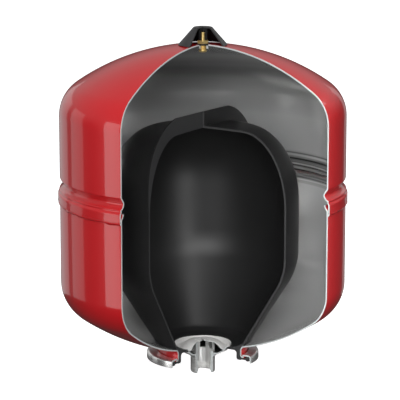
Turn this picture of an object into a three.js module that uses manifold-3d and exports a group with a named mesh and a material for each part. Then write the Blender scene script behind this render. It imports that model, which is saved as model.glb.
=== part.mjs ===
// Expansion vessel, shown as a cutaway: a wedge is taken out of the shells, the bag, the cap and
// the water connection, so that the inside can be seen. The air valve is left whole.
//
// Millimetres, +Z up. The vessel's axis is the Z axis, and z = 0 is the lower end of the
// connection tube. An azimuth is measured from -Y towards +X, so the cutaway faces -Y.

import * as THREE from 'three';
import { mergeVertices } from 'three/addons/utils/BufferGeometryUtils.js';
import Module from 'manifold-3d';

const wasm = await Module();
wasm.setup();

// ---------------------------------------------------------------- driving dimensions

const GAP = 0.3;                    // space between pieces that touch

const SHELL_R = 190;                // outer radius of the vessel
const WALL = 2;                     // steel sheet
const CROWN_R = 297;                // both dished ends
const KNUCKLE_R = 50;
const DOME_TOP = 445.4;             // outer apex of the upper end
const DOME_BOTTOM = 34.5;           // where the lower end's apex would be, without its neck

const SKIRT_BOTTOM = 238.6;         // lower edge of the upper shell
const SKIRT_R = SHELL_R + WALL + 0.35;
const GROOVE_TOP = 271.5;
const GROOVE_Z = 261.5;
const GROOVE_DEPTH = 5.2;
const RIM_TOP = 249;                // upper edge of the lower shell, inside the skirt
const RIM_START = 241;
const RIM_STEP = 3.8;

const NECK_R = 60.5;                // outside of the neck at the bottom
const NECK_FILLET = 5;
const NECK_LIP_R = 64.5;
const NECK_LIP_Z = 27.2;

const RING_INNER_R = 62.2;          // bright ring round the neck
const RING_R = 75.4;
const RING_TOP = 31.5;
const RING_BOTTOM = 21;
const RING_BEND = 4;

const BAG_R = 128;
const BAG_WALL = 2.6;
const BAG_TOP = 336;
const BAG_SHOULDER_Z = 235;         // the straight side starts here
const BAG_CROWN_R = 60;             // the nearly flat top ends here
const BAG_KNUCKLE_Z = 170;          // the lower bend starts here
const BAG_KNUCKLE_R = 80;
const BAG_CONE_ANGLE = 31.8;        // lower cone, from the vertical
const FIN_THICKNESS = 4.5;
const FIN_TOP = 355;
const FIN_FLAT = 62;                // half the length of the fin's straight top edge

const COLLAR_R = 53;                // inside of the bag's collar
const COLLAR_BOTTOM = 23.8;
const COLLAR_LIP_R = 72.3;
const SEAT_R = 37.6;                // inner edge of the rubber that the disc rests on
const SEAT_BOTTOM = 36.2;

const THREAD_R = 16.62;             // G 1 male pipe thread
const THREAD_PITCH = 2.309;
const THREAD_DEPTH = 1.479;
const THREAD_BOTTOM = 1.4;
const THREAD_TOP = 22.4;
const TUBE_PLAIN_R = 16.3;
const BORE_R = 12.6;
const TUBE_TOP = 41.2;
const WINDOW_BOTTOM = 30;
const WINDOW_WIDTH = 7.5;
const WINDOWS_ACROSS = 3;           // each one cuts both sides of the tube

const DISC_R = 38.3;
const DISC_SHEET = 1.2;
const DISC_CROWN = 43.5;            // heights of its middle, of the low ring round it and of its rim
const DISC_GROOVE = 35.2;
const DISC_RIM = 39.7;
const DISC_HOLES = 6;
const DISC_HOLE_R = 1.7;
const DISC_HOLE_CIRCLE = 9;
const DISC_HOLE_AZIMUTH = 21;       // of the first one
const CONE_SHEET = 2;

const BOSS_R = 8.3;                 // weld boss that takes the air valve
const BOSS_TOP = 443.6;
const BOSS_BOTTOM = 439.4;
const VALVE_THREAD_R = 4.86;        // G 1/8
const VALVE_FOOT = 434.6;
const VALVE_COLLAR_TOP = 437.3;
const HEX_ACROSS_FLATS = 14;
const HEX_BOTTOM = 446.1;
const HEX_TOP = 450.4;
const STEM_R = 2.6;
const STEM_HEAD_R = 3.05;
const STEM_HEAD = 1.9;              // height of the collar at the stem's upper end
const STEM_TOP = 460.6;
const VALVE_BORE_R = 1.9;
const VALVE_PASSAGE_R = 1.2;
const VALVE_SHOULDER = 444.5;       // the core's spring stands on this step
const PIN_R = 0.5;
const PIN_TOP = 459.9;

const CAP_TOP = 467.9;
const CAP_TOP_R = 12.6;
const CAP_BASE_R = 32.8;
const CAP_BASE = 444.4;
const CAP_WALL = 1.8;
const SLEEVE_R = 6.4;

const CUT_FROM = -33;               // azimuths of the two cut faces
const CUT_TO = 58;

// ---------------------------------------------------------------- helpers

const rad = THREE.MathUtils.degToRad;
const v2 = (r, z) => new THREE.Vector2(r, z);

// Points on an arc. Angles are in degrees, from the outward radius towards +Z.
function arc(r, z, radius, from, to, steps) {
    return Array.from({ length: steps + 1 }, (_, i) => {
        const a = rad(from + (to - from) * i / steps);
        return v2(r + radius * Math.cos(a), z + radius * Math.sin(a));
    });
}

// A closed outline of even thickness: the path, and the path moved to its right-hand side.
function sheet(path, thickness) {
    const normal = (a, b) => v2(b.y - a.y, a.x - b.x).normalize();
    const inner = path.map((p, i) => {
        const before = i > 0 ? normal(path[i - 1], p) : normal(p, path[i + 1]);
        const after = i < path.length - 1 ? normal(p, path[i + 1]) : before;
        const middle = before.clone().add(after).normalize();
        return p.clone().addScaledVector(middle, thickness / middle.dot(before));
    });
    return [...path, ...inner.reverse()];
}

function toSolid(geometry) {
    let g = geometry.index ? geometry.clone() : geometry;
    g.deleteAttribute('normal');
    g.deleteAttribute('uv');
    g = mergeVertices(g, 1e-4);
    const p = g.attributes.position;
    const triangles = [];
    let volume = 0;
    for (let i = 0; i < g.index.count; i += 3) {
        const [a, b, c] = [0, 1, 2].map((k) => g.index.getX(i + k));
        if (a === b || b === c || c === a) continue;
        const [va, vb, vc] = [a, b, c].map((k) => new THREE.Vector3().fromBufferAttribute(p, k));
        volume += va.dot(vb.cross(vc));
        triangles.push(a, b, c);
    }
    if (volume < 0) triangles.reverse();
    return new wasm.Manifold(new wasm.Mesh({
        numProp: 3,
        vertProperties: new Float32Array(p.array),
        triVerts: new Uint32Array(triangles),
    }));
}

// A body of revolution about Z. The outline either closes on itself or starts and ends on the axis.
function turned(outline, segments = 40) {
    const onAxis = outline[0].x === 0;
    const points = onAxis ? outline : [...outline, outline[0].clone()];
    return toSolid(new THREE.LatheGeometry(points, segments).rotateX(Math.PI / 2));
}

function box(x, y, z, cx, cy, cz, azimuth = 0) {
    const g = new THREE.BoxGeometry(x, y, z).translate(cx, cy, cz).rotateZ(rad(azimuth));
    return toSolid(g);
}

const wedge = (() => {
    const reach = 420;
    const shape = new THREE.Shape();
    shape.moveTo(0, 0);
    for (const azimuth of [CUT_FROM, (CUT_FROM + CUT_TO) / 2, CUT_TO]) {
        shape.lineTo(reach * Math.sin(rad(azimuth)), -reach * Math.cos(rad(azimuth)));
    }
    const g = new THREE.ExtrudeGeometry(shape, { depth: 600, bevelEnabled: false });
    return toSolid(g.translate(0, 0, -50));
})();

const vessel = new THREE.Group();

function add(name, solid, color, roughness, metalness, { cut = true } = {}) {
    const mesh = (cut ? solid.subtract(wedge) : solid).getMesh();
    const g = new THREE.BufferGeometry();
    const xyz = new Float32Array(mesh.numVert * 3);
    for (let i = 0; i < mesh.numVert; i++) {
        for (let k = 0; k < 3; k++) xyz[i * 3 + k] = mesh.vertProperties[i * mesh.numProp + k];
    }
    g.setAttribute('position', new THREE.BufferAttribute(xyz, 3));
    g.setIndex(new THREE.BufferAttribute(new Uint32Array(mesh.triVerts), 1));
    g.computeVertexNormals();
    const material = new THREE.MeshStandardMaterial({ color, roughness, metalness });
    const node = new THREE.Mesh(g, material);
    node.name = name;
    vessel.add(node);
}

const RED = 0xb5282c;
const STEEL = 0xb9b9b7;
const RUBBER = 0x242424;
const BRASS = 0xc9a85a;
const PLASTIC = 0x2e2e30;

// ---------------------------------------------------------------- pressed shells

const knuckleX = SHELL_R - KNUCKLE_R;
const crownAngle = THREE.MathUtils.radToDeg(Math.asin(knuckleX / (CROWN_R - KNUCKLE_R)));
const knuckleRise = (CROWN_R - KNUCKLE_R) * Math.cos(rad(crownAngle));

function upperShell() {
    const centre = DOME_TOP - CROWN_R;
    const hole = THREE.MathUtils.radToDeg(Math.asin((BOSS_R + 0.4) / CROWN_R));
    const groove = new THREE.SplineCurve([
        v2(SHELL_R, GROOVE_TOP),
        v2(SHELL_R - GROOVE_DEPTH * 0.6, GROOVE_Z + 4.5),
        v2(SHELL_R - GROOVE_DEPTH, GROOVE_Z),
        v2(SHELL_R - GROOVE_DEPTH * 0.65, GROOVE_Z - 5.5),
        v2(SHELL_R + 0.4, GROOVE_Z - 11.5),
        v2(SKIRT_R, GROOVE_Z - 17),
    ]).getPoints(8);
    const path = [
        ...arc(0, centre, CROWN_R, 90 - hole, 90 - crownAngle, 6),
        ...arc(knuckleX, centre + knuckleRise, KNUCKLE_R, 90 - crownAngle, 0, 5).slice(1),
        ...groove,
        v2(SKIRT_R, SKIRT_BOTTOM),
    ];
    return turned(sheet(path, WALL));
}

function lowerShell() {
    const centre = DOME_BOTTOM + CROWN_R;
    const filletR = NECK_R + NECK_FILLET;
    const crownStart = THREE.MathUtils.radToDeg(Math.asin((filletR + 1) / CROWN_R));
    const filletZ = centre - Math.sqrt(CROWN_R ** 2 - filletR ** 2) - NECK_FILLET;
    const path = [
        v2(SHELL_R - RIM_STEP, RIM_TOP),
        v2(SHELL_R - RIM_STEP, RIM_TOP - 1.5),
        v2(SHELL_R, RIM_START),
        ...arc(knuckleX, centre - knuckleRise, KNUCKLE_R, 0, crownAngle - 90, 5),
        ...arc(0, centre, CROWN_R, crownAngle - 90, crownStart - 90, 4).slice(1),
        ...arc(filletR, filletZ, NECK_FILLET, 105, 180, 3),
        v2(NECK_R, NECK_LIP_Z + WALL + 1.4),
        v2(NECK_R + 1.4, NECK_LIP_Z + WALL),
        v2(NECK_LIP_R, NECK_LIP_Z + WALL),
    ];
    return turned(sheet(path, WALL));
}

function seamWeld() {
    const r = SHELL_R + GAP;
    const top = SKIRT_BOTTOM - GAP;
    return turned([
        v2(r, top - 3.8),
        v2(r + 1.7, top - 2.9),
        v2(r + 2.6, top - 1.3),
        v2(r + 2.5, top),
        v2(r, top),
    ]);
}

function flangeRing() {
    const bendR = RING_R - RING_BEND;
    const path = [
        v2(RING_INNER_R, RING_TOP),
        ...arc(bendR, RING_TOP - RING_BEND, RING_BEND, 90, 0, 3),
        v2(RING_R, RING_BOTTOM),
    ];
    return turned(sheet(path, WALL));
}

add('upper_shell', upperShell(), RED, 0.3, 0.1);
add('lower_shell', lowerShell(), RED, 0.3, 0.1);
add('seam_weld', seamWeld(), RED, 0.45, 0.1);
add('flange_ring', flangeRing(), STEEL, 0.3, 0.9);

// ---------------------------------------------------------------- rubber bag

// The bag's side from its top down to the foot of its cone. inset moves it inwards.
function bagSide(inset) {
    const shoulder = arc(0, 0, 1, 90, 0, 7).map((p) => v2(
        BAG_CROWN_R - inset * 0.2 + (BAG_R - BAG_CROWN_R - inset * 0.8) * p.x,
        BAG_SHOULDER_Z + (BAG_TOP - 1 - BAG_SHOULDER_Z - inset) * p.y,
    ));
    const bendR = BAG_R - BAG_KNUCKLE_R;
    const bend = arc(bendR, BAG_KNUCKLE_Z, BAG_KNUCKLE_R - inset, 0, -BAG_CONE_ANGLE, 3);
    return [v2(0, BAG_TOP - inset), ...shoulder, ...bend];
}

function bagCone(z, inset) {
    const a = rad(BAG_CONE_ANGLE);
    const r = BAG_R - BAG_KNUCKLE_R + BAG_KNUCKLE_R * Math.cos(a);
    const top = BAG_KNUCKLE_Z - BAG_KNUCKLE_R * Math.sin(a);
    return v2(r - (top - z) * Math.tan(a) - inset / Math.cos(a), z);
}

function bladder() {
    const curlR = NECK_R + NECK_FILLET;
    const curlZ = DOME_BOTTOM + CROWN_R - Math.sqrt(CROWN_R ** 2 - curlR ** 2) - NECK_FILLET;
    const curl = arc(curlR, curlZ, NECK_FILLET + WALL + GAP, 180, 105, 3);
    const lipTop = NECK_LIP_Z - GAP;
    const outside = [...bagSide(0), bagCone(49.5, 0), ...curl.reverse()];
    const collar = [
        v2(NECK_R - WALL - GAP, lipTop + 1.5),
        v2(NECK_R - WALL + 1.2, lipTop),
        v2(COLLAR_LIP_R - 6, lipTop),
        v2(COLLAR_LIP_R - 4, lipTop + 1.3),
        v2(COLLAR_LIP_R, lipTop + 1.3),
        v2(COLLAR_LIP_R, COLLAR_BOTTOM - 0.6),
        v2(COLLAR_LIP_R - 4, COLLAR_BOTTOM - 0.6),
        v2(COLLAR_LIP_R - 5, COLLAR_BOTTOM + 0.8),
        v2(COLLAR_R + 8.3, COLLAR_BOTTOM + 0.8),
        v2(COLLAR_R + 6.6, COLLAR_BOTTOM),
        v2(COLLAR_R + 1.6, COLLAR_BOTTOM),
        v2(COLLAR_R, COLLAR_BOTTOM + 1.8),
        v2(COLLAR_R, SEAT_BOTTOM - 2.6),
        v2(COLLAR_R - 2.6, SEAT_BOTTOM),
    ];
    const seat = [
        v2(SEAT_R, SEAT_BOTTOM),
        v2(SEAT_R, 37.4),
        v2(DISC_R + 1.1, 38.6),
        v2(45, 39.6),
        v2(53, 42),
        v2(61, 46),
    ];
    const inside = [bagCone(49.5, BAG_WALL), ...bagSide(BAG_WALL).reverse()];
    return turned([...outside, ...collar, ...seat, ...inside]).add(fin().subtract(bagCore()));
}

function bagCore() {
    const side = bagSide(BAG_WALL / 2);
    return turned([...side, v2(0, side.at(-1).y)]);
}

// The moulding seam that stands up along the bag's top, in the plane of the first cut face.
function fin() {
    const side = 128.5;
    const shape = new THREE.Shape();
    shape.moveTo(-FIN_FLAT, FIN_TOP);
    shape.bezierCurveTo(-95, 348, -130, 318, -side, 262);
    shape.lineTo(-BAG_R + 0.6, BAG_SHOULDER_Z - 5);
    shape.lineTo(-BAG_R + 8, BAG_SHOULDER_Z - 5);
    shape.lineTo(-FIN_FLAT, BAG_TOP - 12);
    shape.lineTo(FIN_FLAT, BAG_TOP - 12);
    shape.lineTo(BAG_R - 8, BAG_SHOULDER_Z - 5);
    shape.lineTo(BAG_R - 0.6, BAG_SHOULDER_Z - 5);
    shape.lineTo(side, 262);
    shape.bezierCurveTo(130, 318, 95, 348, FIN_FLAT, FIN_TOP);
    const g = new THREE.ExtrudeGeometry(shape, {
        depth: FIN_THICKNESS, bevelEnabled: false, curveSegments: 7,
    });
    g.translate(0, 0, -FIN_THICKNESS / 2).rotateX(Math.PI / 2).rotateZ(rad(CUT_FROM + 90));
    return toSolid(g);
}

add('bladder', bladder(), RUBBER, 0.6, 0);

// ---------------------------------------------------------------- water connection

function connectorTube() {
    const crest = THREAD_PITCH * 0.16;
    const ridges = Math.floor((THREAD_TOP - THREAD_BOTTOM) / THREAD_PITCH);
    const outside = [v2(BORE_R, 0), v2(THREAD_R - 1.2, 0)];
    for (let i = 0; i < ridges; i++) {
        const z = THREAD_BOTTOM + (i + 0.5) * THREAD_PITCH;
        outside.push(v2(THREAD_R - THREAD_DEPTH, z - THREAD_PITCH / 2 + 0.2));
        outside.push(v2(THREAD_R, z - crest), v2(THREAD_R, z + crest));
    }
    outside.push(v2(THREAD_R - THREAD_DEPTH, THREAD_TOP - 0.6), v2(TUBE_PLAIN_R, THREAD_TOP));
    outside.push(v2(TUBE_PLAIN_R, TUBE_TOP), v2(BORE_R, TUBE_TOP));
    let tube = turned(outside, 28);
    const height = TUBE_TOP - WINDOW_BOTTOM + 2;
    for (let i = 0; i < WINDOWS_ACROSS; i++) {
        const azimuth = i * 180 / WINDOWS_ACROSS;
        const window = box(WINDOW_WIDTH, 40, height, 0, 0, WINDOW_BOTTOM + height / 2, azimuth);
        tube = tube.subtract(window);
    }
    return tube;
}

function boreInsert() {
    const bottom = 1.5;
    let ring = turned([
        v2(10.9, bottom), v2(BORE_R - GAP - 0.4, bottom), v2(BORE_R - GAP, bottom + 1),
        v2(BORE_R - GAP, 9.5), v2(11.4, 9.5), v2(10.9, 8.6),
    ], 32);
    for (let i = 0; i < 4; i++) {
        ring = ring.subtract(box(3.2, 40, 3, 0, 0, bottom + 1.5, 20 + i * 45));
    }
    return ring;
}

function diffuserDisc() {
    const path = new THREE.Path();
    path.moveTo(DISC_HOLE_R, DISC_CROWN);
    path.lineTo(13, DISC_CROWN - 0.1);
    path.quadraticCurveTo(19.5, DISC_CROWN - 0.2, 23, 40.8);
    path.lineTo(30.5, DISC_GROOVE);
    path.lineTo(33.2, DISC_GROOVE);
    path.bezierCurveTo(35, DISC_GROOVE + 0.4, 36.6, DISC_RIM - 0.3, DISC_R, DISC_RIM);
    let disc = turned(sheet(path.getPoints(4), DISC_SHEET), 32);
    for (let i = 0; i < DISC_HOLES; i++) {
        const azimuth = rad(DISC_HOLE_AZIMUTH + i * 360 / DISC_HOLES);
        const drill = new THREE.CylinderGeometry(DISC_HOLE_R, DISC_HOLE_R, 20, 8).rotateX(Math.PI / 2);
        drill.translate(DISC_HOLE_CIRCLE * Math.sin(azimuth), -DISC_HOLE_CIRCLE * Math.cos(azimuth), DISC_CROWN);
        disc = disc.subtract(toSolid(drill));
    }
    return disc;
}

function supportCone() {
    const path = [v2(TUBE_PLAIN_R + 0.6, 28.3), v2(20.5, 28.5), v2(26, 30), v2(33, DISC_GROOVE - 1.5)];
    return turned(sheet(path, CONE_SHEET));
}

function coneWeld() {
    const r = TUBE_PLAIN_R + GAP;
    return turned([v2(r, 22.9), v2(17.6, 23.2), v2(19.4, 25), v2(19.7, 26), v2(r, 26)], 28);
}

add('connector_tube', connectorTube(), STEEL, 0.35, 0.9);
add('bore_insert', boreInsert(), 0xd8d8d4, 0.4, 0.1);
add('diffuser_disc', diffuserDisc(), 0xe4e3e0, 0.35, 0.6);
add('support_cone', supportCone(), STEEL, 0.35, 0.9);
add('cone_weld', coneWeld(), STEEL, 0.5, 0.9);

// ---------------------------------------------------------------- air valve, left whole

function valveBoss() {
    const bore = VALVE_THREAD_R + 0.45;
    return turned([
        v2(bore, BOSS_BOTTOM), v2(BOSS_R - 0.6, BOSS_BOTTOM), v2(BOSS_R, BOSS_BOTTOM + 0.6),
        v2(BOSS_R, BOSS_TOP), v2(bore, BOSS_TOP),
    ], 32);
}

function hexagon(acrossFlats, bottom, top) {
    const corner = acrossFlats / 2 / Math.cos(Math.PI / 6);
    const prism = toSolid(new THREE.CylinderGeometry(corner, corner, top - bottom, 6)
        .rotateX(Math.PI / 2).rotateZ(Math.PI / 6).translate(0, 0, (top + bottom) / 2));
    const chamfer = 0.5;
    return prism.intersect(turned([
        v2(0, bottom), v2(corner - chamfer * 1.7, bottom), v2(corner, bottom + chamfer),
        v2(corner, top - chamfer), v2(corner - chamfer * 1.7, top), v2(0, top),
    ], 24));
}

function valveBody() {
    const outside = turned([
        v2(0, VALVE_FOOT), v2(4, VALVE_FOOT), v2(5.6, VALVE_FOOT + 1.6), v2(5.6, VALVE_COLLAR_TOP),
        v2(VALVE_THREAD_R, VALVE_COLLAR_TOP), v2(VALVE_THREAD_R, HEX_BOTTOM + 1),
        v2(STEM_R, HEX_BOTTOM + 1), v2(STEM_R, STEM_TOP - STEM_HEAD - 0.3),
        v2(STEM_HEAD_R, STEM_TOP - STEM_HEAD), v2(STEM_HEAD_R, STEM_TOP - 0.4),
        v2(STEM_HEAD_R - 0.4, STEM_TOP), v2(0, STEM_TOP),
    ], 24);
    const bore = turned([
        v2(0, VALVE_FOOT - 1), v2(VALVE_PASSAGE_R, VALVE_FOOT - 1), v2(VALVE_PASSAGE_R, VALVE_SHOULDER),
        v2(VALVE_BORE_R, VALVE_SHOULDER), v2(VALVE_BORE_R, STEM_TOP + 1), v2(0, STEM_TOP + 1),
    ], 24);
    return outside.add(hexagon(HEX_ACROSS_FLATS, HEX_BOTTOM, HEX_TOP)).subtract(bore);
}

function ring(inner, outer, bottom, top, chamfer = 0.2) {
    return turned([
        v2(inner, bottom), v2(outer - chamfer, bottom), v2(outer, bottom + chamfer),
        v2(outer, top - chamfer), v2(outer - chamfer, top), v2(inner, top),
    ], 24);
}

function valveSeal() {
    const thickness = 0.9;
    const z = (BOSS_TOP + HEX_BOTTOM) / 2;
    return turned(arc(VALVE_THREAD_R + 1.4, z, thickness, 0, 315, 7), 20);
}

function corePin() {
    return turned([
        v2(0, 440.6), v2(PIN_R - 0.2, 440.6), v2(PIN_R, 440.9), v2(PIN_R, PIN_TOP - 0.2),
        v2(PIN_R - 0.2, PIN_TOP), v2(0, PIN_TOP),
    ], 12);
}

function coreSpring() {
    const turns = 3;
    const wire = 0.16;
    const radius = 1.38;
    const bottom = VALVE_SHOULDER + GAP + wire;
    const height = 447.2 - wire - bottom;
    class Helix extends THREE.Curve {
        getPoint(t, target = new THREE.Vector3()) {
            const a = t * turns * 2 * Math.PI;
            return target.set(radius * Math.cos(a), radius * Math.sin(a), bottom + t * height);
        }
    }
    const section = new THREE.Shape(arc(0, 0, wire, 0, 300, 5));
    return toSolid(new THREE.ExtrudeGeometry(section, {
        steps: turns * 12, extrudePath: new Helix(),
    }));
}

const whole = { cut: false };
add('valve_boss', valveBoss(), STEEL, 0.4, 0.9);
add('valve_body', valveBody(), BRASS, 0.3, 0.95, whole);
add('valve_seal', valveSeal(), RUBBER, 0.6, 0, whole);
add('core_housing', ring(PIN_R + 0.4, VALVE_BORE_R - GAP, 451.9, 459.5), BRASS, 0.35, 0.95, whole);
add('core_gasket', ring(PIN_R + 0.5, VALVE_BORE_R - GAP, 450.2, 451.6), 0xb0b0a8, 0.6, 0, whole);
add('core_poppet', ring(PIN_R + GAP, 1.55, 447.5, 449.9), RUBBER, 0.6, 0, whole);
add('core_pin', corePin(), BRASS, 0.3, 0.95, whole);
add('core_spring', coreSpring(), STEEL, 0.3, 0.95, whole);

// ---------------------------------------------------------------- protective cap

function capShell() {
    const slope = (CAP_BASE_R - CAP_TOP_R) / (CAP_TOP - 0.8 - CAP_BASE);
    const wallAcross = CAP_WALL * Math.hypot(1, slope);
    const ceiling = CAP_TOP - CAP_WALL;
    const innerR = (z) => CAP_BASE_R - wallAcross - slope * (z - CAP_BASE);
    return turned([
        v2(0, CAP_TOP), v2(CAP_TOP_R - 1.6, CAP_TOP), v2(CAP_TOP_R, CAP_TOP - 0.8),
        v2(CAP_BASE_R, CAP_BASE), v2(innerR(CAP_BASE), CAP_BASE), v2(innerR(ceiling), ceiling),
        v2(0, ceiling),
    ], 36);
}

function capSleeve() {
    const top = CAP_TOP - CAP_WALL - GAP;
    const bore = STEM_HEAD_R + 0.35;
    const ceiling = STEM_TOP + 1.8;
    return turned([
        v2(0, top), v2(SLEEVE_R - 1.6, top), v2(SLEEVE_R, top - 1.6),
        v2(SLEEVE_R, HEX_TOP + 0.6), v2(bore, HEX_TOP + 0.6),
        v2(bore, ceiling), v2(0, ceiling),
    ], 24);
}

add('cap_shell', capShell(), PLASTIC, 0.4, 0);
add('cap_sleeve', capSleeve(), PLASTIC, 0.5, 0);

export default vessel;
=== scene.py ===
"""Expansion vessel, shown as a cutaway: the looks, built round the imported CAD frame.

Blender works in metres. Sizes in this file are in millimetres unless a name says otherwise, and MM turns
them into metres. A height is measured from the lower end of the connection tube, a radius from the
vessel's axis, and an azimuth in degrees from -Y towards +X, so the missing wedge faces -Y.
An outline is a list of (radius, height) points that is turned about the axis.
"""

import math

import bmesh
import bpy
import numpy as np
from mathutils import Matrix, Vector

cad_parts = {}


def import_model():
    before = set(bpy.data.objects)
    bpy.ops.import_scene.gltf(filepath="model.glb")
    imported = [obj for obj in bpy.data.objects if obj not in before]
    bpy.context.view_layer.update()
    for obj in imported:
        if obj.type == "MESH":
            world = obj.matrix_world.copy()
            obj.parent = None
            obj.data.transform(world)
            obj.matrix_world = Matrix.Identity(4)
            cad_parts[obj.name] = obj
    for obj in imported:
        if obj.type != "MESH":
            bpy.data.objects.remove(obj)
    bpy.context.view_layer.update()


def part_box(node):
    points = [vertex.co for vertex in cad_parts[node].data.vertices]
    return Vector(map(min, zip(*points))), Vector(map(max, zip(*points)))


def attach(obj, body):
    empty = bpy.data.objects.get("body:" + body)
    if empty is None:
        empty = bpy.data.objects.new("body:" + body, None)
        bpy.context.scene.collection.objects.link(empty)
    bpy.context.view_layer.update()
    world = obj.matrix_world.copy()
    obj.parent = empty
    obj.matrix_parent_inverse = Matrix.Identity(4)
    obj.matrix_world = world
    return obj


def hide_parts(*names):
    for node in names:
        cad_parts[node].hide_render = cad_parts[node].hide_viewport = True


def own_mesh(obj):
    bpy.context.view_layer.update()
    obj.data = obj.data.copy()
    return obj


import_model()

MM = 0.001


def low(node, axis):
    """A CAD node's lowest coordinate along an axis (0 to 2), in millimetres."""
    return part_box(node)[0][axis] / MM


def high(node, axis):
    """A CAD node's highest coordinate along an axis (0 to 2), in millimetres."""
    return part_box(node)[1][axis] / MM


# ---------------------------------------------------------------- driving dimensions

GAP = 0.3                                   # between pieces that touch
CUT_FROM, CUT_TO = -33.0, 58.0              # azimuths of the two cut faces
SWEEP = 360 - (CUT_TO - CUT_FROM)           # what is left of a cut piece
CUT_CHAMFER = 0.2                           # round the cut faces of thick sheet

SHELL_R = high("lower_shell", 0)
WALL = 2.0
CROWN_R, KNUCKLE_R = 297.0, 50.0
DOME_TOP, DOME_BOTTOM = 445.4, 34.5         # apexes of the two dished ends, without boss and neck
SKIRT_R, SKIRT_BOTTOM = high("upper_shell", 0), low("upper_shell", 2)
GROOVE_TOP, GROOVE_Z, GROOVE_DEPTH = 271.5, 261.5, 5.2
RIM_TOP, RIM_START, RIM_STEP = high("lower_shell", 2), 241.0, 3.8
WELD_R = high("seam_weld", 0)

NECK_R, NECK_FILLET = 60.5, 5.0
NECK_LIP_R, NECK_LIP_Z = 64.5, low("lower_shell", 2)
RING_INNER_R, RING_R, RING_BEND = 62.2, high("flange_ring", 0), 4.0
RING_TOP, RING_BOTTOM = high("flange_ring", 2), low("flange_ring", 2)

BAG_R, BAG_WALL, BAG_TOP = 128.0, 2.6, 336.0
BAG_SHOULDER_Z, BAG_CROWN_R = 235.0, 60.0
BAG_KNUCKLE_Z, BAG_KNUCKLE_R, BAG_CONE_ANGLE = 170.0, 80.0, 31.8
BAG_CONE_FOOT = 49.5
FIN_THICKNESS, FIN_TOP, FIN_FLAT = 4.5, high("bladder", 2), 62.0
COLLAR_R, COLLAR_BOTTOM, COLLAR_LIP_R = 53.0, 23.8, 72.3
SEAT_R, SEAT_BOTTOM = 37.6, 36.2

THREAD_R, THREAD_PITCH, THREAD_DEPTH = high("connector_tube", 0), 2.309, 1.479     # G 1
THREAD_BOTTOM, THREAD_TOP = 1.4, 22.4
TUBE_R, BORE_R, TUBE_TOP = 16.3, 12.6, high("connector_tube", 2)
WINDOW_BOTTOM, WINDOW_WIDTH, WINDOWS_ACROSS = 30.0, 7.5, 3      # each cut makes two windows
INSERT_R, INSERT_BOTTOM, INSERT_TOP = 12.3, low("bore_insert", 2), high("bore_insert", 2)
INSERT_BORE_R, INSERT_LIP_R, INSERT_NOTCH = 11.4, 10.9, 3.2
DISC_R, DISC_SHEET = 38.3, 1.2
DISC_CROWN, DISC_GROOVE, DISC_RIM = 43.5, 35.2, 39.7
DISC_HOLES, DISC_HOLE_R, DISC_HOLE_CIRCLE, DISC_HOLE_AZIMUTH = 6, 1.7, 9.0, 21.0
DIMPLES = (105.6, 225.6)                    # azimuths
DIMPLE_DEPTH, DIMPLE_CIRCLE, DIMPLE_WIDTH, DIMPLE_LENGTH = 1.0, 25.0, 1.7, 4.5
CONE_SHEET, CONE_FOOT = 2.0, 28.3
CONE_WELD_BOTTOM, CONE_WELD_TOP = 22.9, 26.0

BOSS_R, BOSS_TOP, BOSS_BOTTOM = 8.3, high("valve_boss", 2), low("valve_boss", 2)
VALVE_THREAD_R, VALVE_PITCH, VALVE_DEPTH = 4.86, 0.907, 0.5
VALVE_FOOT, VALVE_COLLAR_TOP, VALVE_COLLAR_R = low("valve_body", 2), 437.3, 5.6
HEX_FLATS, HEX_BOTTOM, HEX_TOP = 14.0, 446.1, 450.4
STEM_R, STEM_HEAD_R, STEM_HEAD, STEM_TOP = 2.6, 3.05, 1.9, high("valve_body", 2)
VALVE_BORE_R, VALVE_PASSAGE_R, VALVE_SHOULDER = 1.9, 1.2, 444.5
BOSS_BORE_R = VALVE_THREAD_R + 0.45
PIN_R, PIN_BOTTOM, PIN_TOP = 0.5, low("core_pin", 2), high("core_pin", 2)
PLUG_BOTTOM, PLUG_TOP, PLUG_PITCH, PLUG_DEPTH = 451.9, 459.5, 0.7, 0.25
WASHER_BOTTOM, WASHER_TOP = 450.2, 451.6
POPPET_R, POPPET_BOTTOM, POPPET_TOP = 1.55, 447.5, 449.9
SPRING_TURNS, SPRING_WIRE_R, SPRING_R = 3, 0.16, 1.38
SPRING_BOTTOM, SPRING_TOP = low("core_spring", 2), high("core_spring", 2)

CAP_TOP, CAP_BASE, CAP_BASE_R = high("cap_shell", 2), low("cap_shell", 2), high("cap_shell", 0)
CAP_TOP_R, CAP_WALL, SLEEVE_R = 12.6, 1.8, 6.4

UP = np.array([0, 0, 1.0])

# ---------------------------------------------------------------- outlines


def arc(r, z, radius, start, end, steps):
    """Points on an arc. Angles are in degrees, from the outward radius towards +Z."""
    angles = np.radians(np.linspace(start, end, steps + 1))
    return [(r + radius * math.cos(a), z + radius * math.sin(a)) for a in angles]


def bezier(controls, steps):
    """Points on a Bezier curve of any degree."""
    points = []
    for t in np.linspace(0, 1, steps + 1):
        row = [np.array(c, float) for c in controls]
        while len(row) > 1:
            row = [a + (b - a) * t for a, b in zip(row, row[1:])]
        points.append(tuple(row[0]))
    return points


def through(points, steps):
    """A smooth curve that passes through all points but the first and last, which only steer it."""
    p = [np.array(q, float) for q in points]
    curve = []
    for a, b, c, d in zip(p, p[1:], p[2:], p[3:]):
        for t in np.linspace(0, 1, steps, endpoint=False):
            bend = (2 * a - 5 * b + 4 * c - d) * t ** 2 + (3 * b - a - 3 * c + d) * t ** 3
            curve.append(tuple((2 * b + (c - a) * t + bend) / 2))
    return curve + [tuple(p[-2])]


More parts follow.
